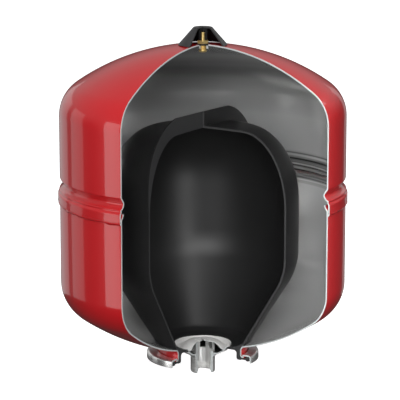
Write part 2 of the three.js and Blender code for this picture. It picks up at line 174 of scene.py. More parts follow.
def rounded(points, steps=5):
    """A closed outline whose (r, z, radius) corners are rounded; (r, z) points stay as they are."""
    outline = []
    for i, corner in enumerate(points):
        here = np.array(corner[:2], float)
        if len(corner) == 2:
            outline.append(tuple(here))
            continue
        before = np.array(points[i - 1][:2], float) - here
        after = np.array(points[(i + 1) % len(points)][:2], float) - here
        reach = min(np.linalg.norm(before), np.linalg.norm(after)) * 0.49
        before, after = before / np.linalg.norm(before), after / np.linalg.norm(after)
        half = math.acos(np.clip(before @ after, -1, 1)) / 2
        cut = min(corner[2] / math.tan(half), reach)
        outline += bezier([here + before * cut, here, here + after * cut], steps)
    return outline


def sheet(path, thickness):
    """A closed outline of even thickness: the path, and the path moved to its right-hand side."""
    p = np.array(path, float)
    along = np.diff(p, axis=0)
    along /= np.linalg.norm(along, axis=1)[:, None]
    normals = np.stack([along[:, 1], -along[:, 0]], axis=1)
    before, after = np.vstack([normals[:1], normals]), np.vstack([normals, normals[-1:]])
    middle = before + after
    middle /= np.linalg.norm(middle, axis=1)[:, None]
    moved = p + middle * (thickness / np.sum(middle * before, axis=1))[:, None]
    return [tuple(q) for q in p] + [tuple(q) for q in moved[::-1]]


# ---------------------------------------------------------------- meshes


def direction(azimuth):
    """Unit vectors pointing out along an azimuth, and round it in the sense in which azimuths grow."""
    a = math.radians(azimuth)
    return np.array([math.sin(a), -math.cos(a), 0.0]), np.array([math.cos(a), math.sin(a), 0.0])


def inset(outline, distance):
    """The outline with each point moved into the area that it encloses."""
    p = np.array(outline, float)
    area = np.sum(p[:, 0] * np.roll(p[:, 1], -1) - np.roll(p[:, 0], -1) * p[:, 1])
    along = np.roll(p, -1, axis=0) - p
    along /= np.linalg.norm(along, axis=1)[:, None]
    normals = np.stack([-along[:, 1], along[:, 0]], axis=1) * math.copysign(1, area)
    middle = normals + np.roll(normals, 1, axis=0)
    middle /= np.linalg.norm(middle, axis=1)[:, None]
    return p + middle * distance


def new_object(name, vertices, faces, zones, materials):
    """A mesh object from vertices in millimetres. zones says which material each face has."""
    mesh = bpy.data.meshes.new(name)
    mesh.from_pydata(np.array(vertices) * MM, [], faces)
    for m in materials:
        mesh.materials.append(m)
    mesh.polygons.foreach_set("material_index", np.array(zones, np.int32))
    obj = bpy.data.objects.new(name, mesh)
    bpy.context.scene.collection.objects.link(obj)
    return obj


def tidy(obj, sharp=32.0):
    """Merges doubled vertices, turns all faces outwards and shades the mesh smooth between sharp edges."""
    bm = bmesh.new()
    bm.from_mesh(obj.data)
    bmesh.ops.remove_doubles(bm, verts=bm.verts, dist=1e-6)     # metres
    bmesh.ops.recalc_face_normals(bm, faces=bm.faces)
    bm.to_mesh(obj.data)
    bm.free()
    obj.data.shade_smooth()
    obj.data.set_sharp_from_angle(angle=math.radians(sharp))
    return obj


def column(outline, azimuth):
    """An outline's (r, z) points as points in space, at an azimuth."""
    out, _ = direction(azimuth)
    return outline[:, :1] * out + outline[:, 1:] * UP


def chamfer_ends(columns, azimuths, edge):
    """Moves the first and last column in by edge, and adds a column for each smaller cut face."""
    for end, sense in ((0, 1), (-1, -1)):
        out, round_ = direction(azimuths[end])
        flat = np.stack([columns[end] @ out, columns[end][:, 2]], axis=1)
        face = column(inset(flat, edge), azimuths[end])
        columns[end] = columns[end] + round_ * sense * edge
        columns.insert(0 if end == 0 else len(columns), face)


def turned(name, outline, materials, steps, zone=None, shape=None, edge=0.0, whole=False):
    """A closed outline turned about the axis, right round or with the wedge missing.

    materials is one material, or (surface, cut) or (surface, cut, second surface); zone(i) is True where
    the outline's stretch after point i has the second surface. shape(r, z, azimuth) moves a column of
    points. edge is the width of the small chamfer round each cut face."""
    materials = materials if isinstance(materials, tuple) else (materials, materials)
    outline = np.array(outline, float)
    count = len(outline)
    azimuths = np.linspace(CUT_TO, CUT_TO + (360 if whole else SWEEP), steps + 1)
    columns = []
    for azimuth in azimuths[:-1] if whole else azimuths:
        r, z = outline[:, 0], outline[:, 1]
        if shape:
            r, z = shape(r.copy(), z.copy(), azimuth)
        columns.append(column(np.stack([r, z], axis=1), azimuth))
    surface_zone = [2 if zone and zone(k) else 0 for k in range(count)]
    if edge:
        chamfer_ends(columns, azimuths, edge)
    faces, zones = [], []
    for i in range(len(columns) if whole else len(columns) - 1):
        j = (i + 1) % len(columns)              # the last column of a whole turn joins the first
        on_edge = edge and i in (0, len(columns) - 2)
        for k in range(count):
            n = (k + 1) % count
            faces.append((i * count + k, i * count + n, j * count + n, j * count + k))
            zones.append(1 if on_edge else surface_zone[k])
    if not whole:
        for i in (0, len(columns) - 1):
            faces.append([i * count + k for k in range(count)])
            zones.append(1)
    return tidy(new_object(name, np.vstack(columns), faces, zones, materials))


def swept(name, stations, materials):
    """A tube with flat ends through stations, which are rings of the same number of points."""
    count = len(stations[0])
    faces = []
    for i in range(len(stations) - 1):
        for k in range(count):
            n = (k + 1) % count
            faces.append((i * count + k, i * count + n, (i + 1) * count + n, (i + 1) * count + k))
    faces += [list(range(count)), [(len(stations) - 1) * count + k for k in range(count)]]
    return tidy(new_object(name, np.vstack(stations), faces, [0] * len(faces), materials))


def prism(name, foot, bottom, top, zone, materials):
    """An upright cutter with four sides, over the four points of its foot."""
    points = [p + z * UP for z in (bottom, top) for p in foot]
    faces = [(3, 2, 1, 0), (4, 5, 6, 7)] + [(i, (i + 1) % 4, (i + 1) % 4 + 4, i + 4) for i in range(4)]
    return tidy(new_object(name, points, faces, [zone] * 6, materials))


def combine(obj, tool, operation):
    """Joins or cuts obj with tool, which goes away."""
    modifier = obj.modifiers.new(operation, "BOOLEAN")
    modifier.operation = operation
    modifier.object = tool
    modifier.solver = "EXACT"
    evaluated = obj.evaluated_get(bpy.context.evaluated_depsgraph_get())
    mesh = bpy.data.meshes.new_from_object(evaluated)
    obj.modifiers.clear()
    obj.data = mesh
    bpy.data.objects.remove(tool)


def place(obj, body, node):
    """The piece rides on its body and takes the place of its CAD node, which it hides."""
    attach(obj, body)
    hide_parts(node)
    return obj


# ---------------------------------------------------------------- materials


class Nodes:
    """Short calls for a material's nodes. A socket's value is a number, a colour or another node's output.

    Materials work in metres, because they read the mesh's own coordinates."""

    def __init__(self, name):
        self.material = bpy.data.materials.new(name)
        self.material.use_nodes = True
        self.tree = self.material.node_tree
        self.shader = self.tree.nodes["Principled BSDF"]
        self.position = self.add("ShaderNodeTexCoord").outputs["Object"]

    def add(self, kind, **settings):
        node = self.tree.nodes.new(kind)
        for key, value in settings.items():
            setattr(node, key, value)
        return node

    def put(self, socket, value):
        if isinstance(value, bpy.types.NodeSocket):
            self.tree.links.new(value, socket)
        else:
            socket.default_value = value

    def surface(self, **values):
        for key, value in values.items():
            self.put(self.shader.inputs[key.replace("_", " ")], value)

    def coordinates(self):
        """x, y and z."""
        parts = self.add("ShaderNodeSeparateXYZ")
        self.put(parts.inputs[0], self.position)
        return list(parts.outputs)

    def noise_over(self, vector, scale, detail):
        node = self.add("ShaderNodeTexNoise")
        self.put(node.inputs["Vector"], vector)
        self.put(node.inputs["Scale"], scale)
        self.put(node.inputs["Detail"], detail)
        return node.outputs["Fac"]

    def noise(self, scale, detail, stretch=(1, 1, 1)):
        mapping = self.add("ShaderNodeMapping")
        self.put(mapping.inputs["Scale"], stretch)
        self.put(mapping.inputs["Vector"], self.position)
        return self.noise_over(mapping.outputs[0], scale, detail)

    def turning_marks(self, per_metre, detail):
        """Noise that changes only with height and radius, as marks left by a lathe or a press do."""
        x, y, z = self.coordinates()
        squares = self.math("ADD", self.math("MULTIPLY", x, x), self.math("MULTIPLY", y, y))
        join = self.add("ShaderNodeCombineXYZ")
        self.put(join.inputs[0], self.math("SQRT", squares))
        self.put(join.inputs[2], z)
        return self.noise_over(join.outputs[0], per_metre, detail)

    def math(self, operation, a, b=0.0):
        node = self.add("ShaderNodeMath", operation=operation)
        self.put(node.inputs[0], a)
        self.put(node.inputs[1], b)
        return node.outputs[0]

    def spread(self, value, start, end, new_start=0, new_end=1):
        """value, with start to end stretched to new_start to new_end."""
        node = self.add("ShaderNodeMapRange")
        for socket, number in zip(list(node.inputs)[:5], (value, start, end, new_start, new_end)):
            self.put(socket, number)
        return node.outputs[0]

    def vary(self, noise, start=0, end=1):
        """Noise, which mostly keeps between 0.3 and 0.7, stretched to start to end."""
        return self.spread(noise, 0.3, 0.7, start, end)

    def mix(self, factor, a, b):
        node = self.add("ShaderNodeMix", data_type="RGBA")
        self.put(node.inputs[0], factor)
        self.put(node.inputs[6], (*a, 1) if isinstance(a, tuple) else a)
        self.put(node.inputs[7], (*b, 1) if isinstance(b, tuple) else b)
        return node.outputs[2]

    def bump(self, height, distance, strength):
        node = self.add("ShaderNodeBump")
        self.put(node.inputs["Strength"], strength)
        self.put(node.inputs["Distance"], distance)
        self.put(node.inputs["Height"], height)
        return node.outputs[0]


def grey(value):
    return (value, value, value)


def red_paint():
    """Powder coat: faint orange peel, slightly uneven colour."""
    n = Nodes("red_paint")
    patches = n.vary(n.noise(5, 1))
    n.surface(Base_Color=n.mix(patches, (0.54, 0.010, 0.014), (0.57, 0.012, 0.017)),
              Roughness=n.vary(n.noise(12, 1), 0.28, 0.31),
              Normal=n.bump(n.noise(30, 1), 0.0002, 0.04))
    n.surface(Specular_IOR_Level=0.25, Coat_Weight=0.8, Coat_Roughness=0.05, Coat_IOR=1.5)
    return n.material


# The groove lines and the dome's rings below are painted shade and painted reflection in the steel's colour.
GROOVE_LINES_AT = 0.256                         # metres, the middle of the lines round the groove
GROOVE_LINES_REACH = (0.018, 0.023)             # metres, where they start and end fading
DOME_RINGS_FADE = (0.325, 0.380)                # metres, where the dome's rings start and are in full
BARE_STEEL = (0.90, 0.90, 0.895)


def shell_steel():
    """Bare satin steel sheet inside the shells, with painted shade lines round the groove and wide bands of
    painted shade and painted reflection that darken the dome."""
    n = Nodes("shell_steel")
    height = n.coordinates()[2]
    # rings: bands of painted shade and painted reflection under the dome; the same noise also varies the
    # roughness.
    rings = n.spread(n.turning_marks(20, 1), 0.35, 0.65)
    lines = n.spread(n.turning_marks(170, 1), 0.42, 0.58)
    from_groove = n.math("ABSOLUTE", n.math("SUBTRACT", height, GROOVE_LINES_AT))
    at_groove = n.spread(from_groove, *GROOVE_LINES_REACH, 1, 0)
    # Painted shade: the dome is darker than the steel below it.
    below_dome = n.spread(height, *DOME_RINGS_FADE, 1, 0)
    dome = n.mix(rings, grey(0.14), (0.58, 0.58, 0.578))
    plain = n.mix(below_dome, dome, BARE_STEEL)
    # Painted shade lines round the groove.
    painted_groove_shade = n.mix(lines, grey(0.06), BARE_STEEL)
    n.surface(Base_Color=n.mix(at_groove, plain, painted_groove_shade),
              Roughness=n.spread(rings, 0, 1, 0.17, 0.22),
              Normal=n.bump(n.noise(9, 1, stretch=(1, 1, 2.5)), 0.001, 0.10))
    n.surface(Metallic=0.6)
    return n.material


def cut_steel():
    """Freshly machined edge of the steel sheet."""
    n = Nodes("cut_steel")
    grain = n.noise(900, 3)
    n.surface(Base_Color=n.mix(n.vary(grain), (0.56, 0.59, 0.59), (0.64, 0.67, 0.67)),
              Roughness=n.vary(grain, 0.42, 0.55),
              Normal=n.bump(grain, 0.00002, 0.3))
    n.surface(Metallic=0.1)
    return n.material


def rubber(name, color, cut=False):
    """Moulded rubber with a satin skin, or rougher where it is cut."""
    n = Nodes(name)
    fine = n.noise(1400 if cut else 700, 3)
    cloud = n.noise(14, 4)
    lighter = tuple(c * 1.25 for c in color)
    roughness = (0.50, 0.60) if cut else (0.36, 0.42)
    n.surface(Base_Color=n.mix(n.vary(cloud), color, lighter),
              Roughness=n.vary(cloud, *roughness),
              Normal=n.bump(fine, 0.00005, 0.35 if cut else 0.2))
    return n.material


def metal(name, dark, light, roughness, marks_per_metre, metallic, depth=0.2):
    """Turned, pressed or plated metal with fine marks round the axis, depth strong."""
    n = Nodes(name)
    marks = n.turning_marks(marks_per_metre, 3)
    cloud = n.noise(120, 3)
    n.surface(Base_Color=n.mix(n.vary(cloud), dark, light),
              Roughness=n.vary(cloud, roughness - 0.04, roughness + 0.05),
              Normal=n.bump(marks, 0.00003, depth))
    n.surface(Metallic=metallic)
    return n.material


def plastic(name, dark, light, roughness):
    """Moulded plastic with a fine eroded texture."""
    n = Nodes(name)
    cloud = n.noise(60, 3)
    n.surface(Base_Color=n.mix(n.vary(cloud), dark, light),
              Roughness=n.vary(cloud, roughness - 0.04, roughness + 0.06),
              Normal=n.bump(n.noise(2600, 2), 0.00003, 0.3))
    return n.material


RED = red_paint()
INSIDE = shell_steel()
EDGE = cut_steel()
RUBBER = rubber("bag_rubber", (0.013, 0.013, 0.0133))
RUBBER_CUT = rubber("cut_rubber", (0.032, 0.032, 0.033), cut=True)
SEAL = rubber("seal_rubber", grey(0.012))
ZINC = metal("zinc_plated_steel", (0.82, 0.82, 0.81), (0.90, 0.90, 0.89), 0.21, 1500, 0.85, 0.05)
PALE = metal("pale_steel", (0.88, 0.87, 0.85), (0.94, 0.93, 0.91), 0.33, 900, 0.15)
TUBE = metal("turned_steel", (0.74, 0.74, 0.73), (0.82, 0.82, 0.81), 0.33, 2500, 0.8, 0.06)
# SHADED is painted shade: a near-black copy of the pale steel for the disc's underside and the cone's upper
# side, which face each other in shade.
SHADED = metal("painted_shade_steel", grey(0.020), grey(0.030), 0.50, 900, 0.3)
BRASS = metal("brass", (0.66, 0.47, 0.16), (0.80, 0.60, 0.25), 0.32, 4000, 0.72)
WHITE_PLASTIC = plastic("white_plastic", (0.66, 0.66, 0.64), (0.74, 0.74, 0.72), 0.4)
BLACK_PLASTIC = plastic("black_plastic", (0.032, 0.032, 0.033), (0.040, 0.040, 0.041), 0.34)
BLACK_CUT = plastic("cut_black_plastic", (0.030, 0.030, 0.031), (0.038, 0.038, 0.039), 0.55)
# BLACK_INSIDE is painted shade: a near-black copy of the cap's plastic for the cap's base, its inside and
# the sleeve.
BLACK_INSIDE = plastic("painted_shade_black_plastic", grey(0.004), grey(0.007), 0.6)

# ---------------------------------------------------------------- pressed shells

KNUCKLE_X = SHELL_R - KNUCKLE_R
CROWN_ANGLE = math.degrees(math.asin(KNUCKLE_X / (CROWN_R - KNUCKLE_R)))
KNUCKLE_RISE = (CROWN_R - KNUCKLE_R) * math.cos(math.radians(CROWN_ANGLE))
FILLET_R = NECK_R + NECK_FILLET
FILLET_Z = DOME_BOTTOM + CROWN_R - math.sqrt(CROWN_R ** 2 - FILLET_R ** 2) - NECK_FILLET
SHELL_STEPS = 180


def neck_turn(offset=0.0):
    """The turn from the lower end down into the neck. offset moves it inwards, into the vessel."""
    return arc(FILLET_R, FILLET_Z, NECK_FILLET + offset, 105, 180, 8)


def upper_shell():
    centre = DOME_TOP - CROWN_R
    hole = math.degrees(math.asin((BOSS_R + 0.4) / CROWN_R))
    groove = through([
        (SHELL_R, GROOVE_TOP + 6), (SHELL_R, GROOVE_TOP), (SHELL_R - 0.5, GROOVE_TOP - 2.5),
        (SHELL_R - GROOVE_DEPTH * 0.65, GROOVE_Z + 3.6), (SHELL_R - GROOVE_DEPTH, GROOVE_Z),
        (SHELL_R - GROOVE_DEPTH * 0.6, GROOVE_Z - 4.2), (SHELL_R + 0.5, GROOVE_Z - 7.0),
        (SHELL_R + 0.5, GROOVE_Z - 8.6), (SHELL_R + 0.7, GROOVE_Z - 9.8), (SKIRT_R, GROOVE_Z - 12.5),
        (SKIRT_R, GROOVE_Z - 16), (SKIRT_R, GROOVE_Z - 20),
    ], 6)
    path = arc(0, centre, CROWN_R, 90 - hole, 90 - CROWN_ANGLE, 36)
    path += arc(KNUCKLE_X, centre + KNUCKLE_RISE, KNUCKLE_R, 90 - CROWN_ANGLE, 0, 20)[1:]
    path += groove + [(SKIRT_R, SKIRT_BOTTOM)]
    return turned("shell_top", sheet(path, WALL), (RED, EDGE, INSIDE), SHELL_STEPS, edge=CUT_CHAMFER,
                  zone=lambda k: k >= len(path))


def lower_shell():
    centre = DOME_BOTTOM + CROWN_R
    lip_bend = 1.6
    crown_start = math.degrees(math.asin((FILLET_R + 1) / CROWN_R))
    path = [(SHELL_R - RIM_STEP, RIM_TOP)]
    path += through([
        (SHELL_R - RIM_STEP, RIM_TOP), (SHELL_R - RIM_STEP, RIM_TOP - 1.5),
        (SHELL_R - RIM_STEP * 0.8, RIM_TOP - 3.7), (SHELL_R - RIM_STEP * 0.2, RIM_START + 1.6),
        (SHELL_R, RIM_START - 0.6), (SHELL_R, RIM_START - 5),
    ], 5)
    path += arc(KNUCKLE_X, centre - KNUCKLE_RISE, KNUCKLE_R, 0, CROWN_ANGLE - 90, 20)
    path += arc(0, centre, CROWN_R, CROWN_ANGLE - 90, crown_start - 90, 16)[1:]
    path += neck_turn()
    path += arc(NECK_R + lip_bend, NECK_LIP_Z + WALL + lip_bend, lip_bend, 180, 270, 6)
    path += [(NECK_LIP_R, NECK_LIP_Z + WALL)]
    return turned("shell_bottom", sheet(path, WALL), (RED, EDGE, INSIDE), SHELL_STEPS, edge=CUT_CHAMFER,
                  zone=lambda k: k >= len(path))


def ripple(azimuth, *waves):
    """A sum of sines round the axis, from (height, turns, phase) triples."""
    return sum(h * math.sin(math.radians(azimuth) * turns + phase) for h, turns, phase in waves)


def seam_weld():
    """The bead under the skirt, painted over, uneven as hand-fed welds are."""
    r, top, tall = SHELL_R + GAP, SKIRT_BOTTOM - GAP, 3.8
    bead = WELD_R - r

    def uneven(radius, z, azimuth):
        swell = ripple(azimuth, (0.22, 23, 0.4), (0.16, 61, 1.9), (0.12, 37, 4.0))
        scale = ripple(azimuth, (0.06, 420, 0.0))
        share = np.clip((radius - r) / bead, 0, 1)
        return radius - share * (0.45 - swell - scale), z + (1 - (z - top + tall) / tall) * swell * 2.2
    outline = [(r, top)] + bezier([(r + bead * 0.95, top), (r + bead * 1.2, top - 0.6),
                                   (r + bead * 0.9, top - 3.0), (r, top - tall)], 10)
    return turned("weld_bead_seam", outline, (RED, EDGE), 900, shape=uneven)


def flange_ring():
    path = [(RING_INNER_R, RING_TOP)]
    path += arc(RING_R - RING_BEND, RING_TOP - RING_BEND, RING_BEND, 90, 0, 10)
    path += [(RING_R, RING_BOTTOM)]
    return turned("ring_collar", sheet(path, WALL), (ZINC, EDGE), 150, edge=CUT_CHAMFER)


# ---------------------------------------------------------------- rubber bag


def bag_shoulder(depth):
    """The bag's rounded shoulder, from its nearly flat top out to its straight side."""
    across = BAG_R - BAG_CROWN_R - depth * 0.8
    rise = BAG_TOP - 1 - BAG_SHOULDER_Z - depth
    return [(BAG_CROWN_R - depth * 0.2 + across * x, BAG_SHOULDER_Z + rise * y)
            for x, y in arc(0, 0, 1, 90, 0, 26)]


def bag_side(depth):
    """The bag's side from its top down to where its cone starts. depth moves it inwards."""
    crown = [(0, BAG_TOP - depth), (BAG_CROWN_R * 0.35, BAG_TOP - 0.15 - depth),
             (BAG_CROWN_R * 0.7, BAG_TOP - 0.55 - depth)]
    knuckle = arc(BAG_R - BAG_KNUCKLE_R, BAG_KNUCKLE_Z, BAG_KNUCKLE_R - depth, 0, -BAG_CONE_ANGLE, 10)
    return crown + bag_shoulder(depth) + knuckle


def bag_cone(z, depth):
    """The point of the bag's cone at a height. depth moves it inwards."""
    angle = math.radians(BAG_CONE_ANGLE)
    r = BAG_R - BAG_KNUCKLE_R + BAG_KNUCKLE_R * math.cos(angle)
    top = BAG_KNUCKLE_Z - BAG_KNUCKLE_R * math.sin(angle)
    return r - (top - z) * math.tan(angle) - depth / math.cos(angle), z


def bag_outline():
    """Down the outside, through the neck, round the neck's lip, and back up the inside."""
    lip = NECK_LIP_Z - GAP
    collar = [
        (NECK_R - WALL - GAP, lip + 1.5, 1.5), (NECK_R - WALL + 1.2, lip, 1.0),
        (COLLAR_LIP_R - 6, lip, 1.0), (COLLAR_LIP_R - 4, lip + 1.3, 1.0),
        (COLLAR_LIP_R, lip + 1.3, 0.9), (COLLAR_LIP_R, COLLAR_BOTTOM - 0.6, 1.2),
        (COLLAR_LIP_R - 4, COLLAR_BOTTOM - 0.6, 1.5), (COLLAR_LIP_R - 5, COLLAR_BOTTOM + 0.8, 0.8),
        (COLLAR_R + 8.3, COLLAR_BOTTOM + 0.8, 1.2), (COLLAR_R + 6.6, COLLAR_BOTTOM, 1.2),
        (COLLAR_R + 1.6, COLLAR_BOTTOM, 1.4), (COLLAR_R, COLLAR_BOTTOM + 1.8, 1.4),
        (COLLAR_R, SEAT_BOTTOM - 2.6, 2.2), (COLLAR_R - 2.6, SEAT_BOTTOM, 2.2),
    ]
    seat = [
        (SEAT_R, SEAT_BOTTOM, 0.4), (SEAT_R, 37.4, 0.5), (DISC_R + 1.1, 38.6, 1.0),
        (45, 39.6, 3.0), (53, 42, 5.0), (61, 46, 5.0),
    ]
    outside = bag_side(0) + [(*bag_cone(BAG_CONE_FOOT, 0), 4.0)] + neck_turn(WALL + GAP)
    inside = [bag_cone(BAG_CONE_FOOT, BAG_WALL)] + bag_side(BAG_WALL)[::-1]
    return rounded(outside + collar + seat + inside)


def mirrored(half):
    """(x, z) points that end at x = 0, and then their mirror image."""
    return np.array(half + [(-x, z) for x, z in half[-2::-1]])


def share_of_length(points):
    """How far along the line each point is, from 0 to 1."""
    lengths = np.concatenate([[0], np.cumsum(np.linalg.norm(np.diff(points, axis=0), axis=1))])
    return lengths / lengths[-1]


def fin_curves():
    """The fin's top edge and, point for point, the line in the bag's wall that it stands on."""
    side, foot_z = BAG_R + 0.5, BAG_SHOULDER_Z - 5
    foot = [(BAG_R - 0.6, foot_z), (side - 0.3, BAG_SHOULDER_Z + 12)]
    curve = bezier([(side, 262), (130, 318), (95, 348), (FIN_FLAT, FIN_TOP)], 30)
    top = mirrored(foot + curve + [(FIN_FLAT * 0.5, FIN_TOP), (0, FIN_TOP)])
    depth = BAG_WALL / 2
    base = mirrored([(BAG_R - depth, foot_z)] + bag_shoulder(depth)[::-1] + [(0, BAG_TOP - depth)])
    at, base_at = share_of_length(top), share_of_length(base)
    return top, np.stack([np.interp(at, base_at, base[:, i]) for i in (0, 1)], axis=1)


def bag_fin(materials):
    """The moulding seam that stands up along the bag's top, in the plane of the first cut face."""
    top, base = fin_curves()
    along = np.gradient(top, axis=0)
    along /= np.linalg.norm(along, axis=1)[:, None]
    outward = np.stack([along[:, 1], -along[:, 0]], axis=1)
    half, soft = FIN_THICKNESS / 2, 0.7
    corner = arc(half - soft, -soft, soft, 0, 90, 4)
    out, round_ = direction(CUT_FROM)
    stations = []
    for t, b, o in zip(top, base, outward):
        rim = [(across, t + o * drop) for across, drop in corner]
        rim += [(-across, t + o * drop) for across, drop in corner[::-1]]
        ring = [(half, b)] + rim + [(-half, b)]
        stations.append([x * out + across * round_ + z * UP for across, (x, z) in ring])
    return swept("fin", stations, materials)


def wedge(materials):
    """The missing wedge as a solid. Its edge stands a hair off the axis, so that no points coincide."""
    edge = np.array([0.004, 0.003, 0])
    rim = [edge + direction(a)[0] * 420 for a in (CUT_FROM, (CUT_FROM + CUT_TO) / 2, CUT_TO)]
    return prism("wedge", [edge] + rim, -50, 550, 1, materials)


def bladder():
    materials = (RUBBER, RUBBER_CUT)
    bag = turned("rubber_bag", bag_outline(), materials, 160, whole=True)
    combine(bag, bag_fin(materials), "UNION")
    combine(bag, wedge(materials), "DIFFERENCE")
    return tidy(bag, 30)


# ---------------------------------------------------------------- water connection


def helix(crest, depth, pitch, bottom, top, run_out):
    """A shape for turned(): cuts a screw thread into the outside between two heights."""
    flanks = 0.84                               # how much of the pitch isn't the flat crest

    def cut(r, z, azimuth):
        phase = (z / pitch - azimuth / 360) % 1.0
        flank = np.clip((0.5 - np.abs(phase - 0.5)) * 2 / flanks, 0, 1)
        ridge = flank * flank * (3 - 2 * flank)
        threaded = np.minimum(r, crest - depth * (1 - ridge))
        fade = np.clip((top - z) / run_out, 0, 1)
        outside = (r > crest - depth) & (z > bottom) & (z < top)
        return np.where(outside, r + (threaded - r) * fade, r), z
    return cut


def window_cutter(azimuth, materials):
    """A bar right through the tube, which cuts a window into each side."""
    out, round_ = direction(azimuth)
    corners = ((-1, -1), (1, -1), (1, 1), (-1, 1))
    foot = [a * 20 * out + b * WINDOW_WIDTH / 2 * round_ for a, b in corners]
    return prism("window", foot, WINDOW_BOTTOM, TUBE_TOP + 2, 0, materials)


def connector_tube():
    materials = (TUBE, EDGE)
    screw = [(THREAD_R, z) for z in np.arange(THREAD_BOTTOM, THREAD_TOP, THREAD_PITCH / 14)]
    outline = [(BORE_R, 0.5), (BORE_R + 0.5, 0), (THREAD_R - 1.3, 0), (THREAD_R - 1.0, 0.4)]
    outline += [(THREAD_R - 0.4, 1.0)] + screw + [(TUBE_R, THREAD_TOP + 0.4)]
    outline += [(TUBE_R, TUBE_TOP - 0.3), (TUBE_R - 0.3, TUBE_TOP), (BORE_R + 0.3, TUBE_TOP),
                (BORE_R, TUBE_TOP - 0.3)]
    thread = helix(THREAD_R, THREAD_DEPTH, THREAD_PITCH, 0.2, THREAD_TOP, THREAD_PITCH)
    tube = turned("threaded_tube", outline, materials, 110, shape=thread)
    for i in range(WINDOWS_ACROSS):
        combine(tube, window_cutter(i * 180 / WINDOWS_ACROSS, materials), "DIFFERENCE")
    return tidy(tube)


def bore_insert():
    """A plastic ring in the tube's lower end, with notches in its lower edge."""
    notches, depth = 8, 1.9

    def scalloped(r, z, azimuth):
        wave = 0.5 + 0.5 * math.cos(math.radians(azimuth - 20) * notches)
        lift = depth * wave ** 2
        return r, z + lift * np.clip((INSERT_BOTTOM + INSERT_NOTCH - z) / INSERT_NOTCH, 0, 1)
    outline = rounded([
        (INSERT_LIP_R, INSERT_BOTTOM, 0.3), (INSERT_R - 0.2, INSERT_BOTTOM, 0.3),
        (INSERT_R, INSERT_BOTTOM + INSERT_NOTCH), (INSERT_R, INSERT_TOP, 0.4),
        (INSERT_BORE_R, INSERT_TOP, 0.3), (INSERT_BORE_R, INSERT_BOTTOM + INSERT_NOTCH + 1.2, 0.3),
        (INSERT_LIP_R, INSERT_BOTTOM + INSERT_NOTCH, 0.3),
    ])
    return turned("insert_ring", outline, (WHITE_PLASTIC, WHITE_PLASTIC), 120, shape=scalloped)


def new_drill(radius, height, centre, materials):
    """An upright cutter that reaches well past a sheet at the given height."""
    reach = 8
    outline = [(0, height - reach), (radius, height - reach), (radius, height + reach), (0, height + reach)]
    drill = turned("drill", outline, materials, 24, whole=True)
    drill.data.transform(Matrix.Translation(Vector(centre) * MM))
    return drill


def diffuser_disc():
    """Its outline runs from the middle hole out to the groove that rests on the rubber, and the rim."""
    materials = (PALE, EDGE, SHADED)
    path = [(DISC_HOLE_R, DISC_CROWN), (6, DISC_CROWN), (10, DISC_CROWN - 0.05)]
    path += bezier([(13, DISC_CROWN - 0.1), (19.5, DISC_CROWN - 0.2), (23, 40.8)], 10)
    path += through([(20, 43), (24, 40.1), (29.5, 35.9), (31.9, DISC_GROOVE),
                     (33.2, DISC_GROOVE), (35, 36)], 5)
    path += bezier([(34, DISC_GROOVE + 0.2), (35.4, DISC_GROOVE + 0.8), (36.4, DISC_RIM - 0.3),
                    (DISC_R, DISC_RIM)], 10)

    def dimpled(r, z, azimuth):
        depth = 0
        for at in DIMPLES:
            across = math.radians((azimuth - at + 180) % 360 - 180) * r / DIMPLE_WIDTH
            along = np.abs(r - DIMPLE_CIRCLE) / DIMPLE_LENGTH
            depth = depth + np.exp(-across ** 2) * np.clip(1 - along, 0, 1)
        return r, z - DIMPLE_DEPTH * depth
    # The disc's underside takes SHADED: painted shade on the pale steel.
    disc = turned("diffuser", sheet(path, DISC_SHEET), materials, 160, shape=dimpled,
                  zone=lambda k: k >= len(path))
    for i in range(DISC_HOLES):
        out, _ = direction(DISC_HOLE_AZIMUTH + i * 360 / DISC_HOLES)
        drill = new_drill(DISC_HOLE_R, DISC_CROWN, out * DISC_HOLE_CIRCLE, materials)
        combine(disc, drill, "DIFFERENCE")
    return tidy(disc)


def support_cone():
    path = [(TUBE_R + 0.6, CONE_FOOT)]
    path += bezier([(20.5, CONE_FOOT), (24.0, CONE_FOOT + 0.3), (26.5, CONE_FOOT + 2.1)], 6)
    path += [(33, DISC_GROOVE - 1.5)]
    # The cone's upper side, under the disc, takes SHADED: painted shade on the pale steel.
    return turned("cone_under_disc", sheet(path, CONE_SHEET), (PALE, EDGE, SHADED), 120,
                  zone=lambda k: k < len(path) - 1)


def cone_weld():
    r = TUBE_R + GAP

    def uneven(radius, z, azimuth):
        swell = ripple(azimuth, (0.12, 40, 0.0), (0.08, 9, 1.0))
        return np.where(radius > r + 0.1, radius - 0.15 + swell, radius), z
    outline = [(r, CONE_WELD_BOTTOM)]
    outline += bezier([(r + 0.8, CONE_WELD_BOTTOM), (19.0, 23.4), (19.9, 24.8), (19.7, CONE_WELD_TOP)], 8)
    outline += [(r, CONE_WELD_TOP)]
    return turned("weld_bead_cone", outline, (TUBE, EDGE), 300, shape=uneven)


# ---------------------------------------------------------------- air valve


def valve_boss():
    outline = rounded([(BOSS_BORE_R, BOSS_BOTTOM, 0.3), (BOSS_R, BOSS_BOTTOM, 0.8),
                       (BOSS_R, BOSS_TOP, 0.3), (BOSS_BORE_R, BOSS_TOP, 0.3)])
    return turned("boss", outline, (ZINC, EDGE), 90)


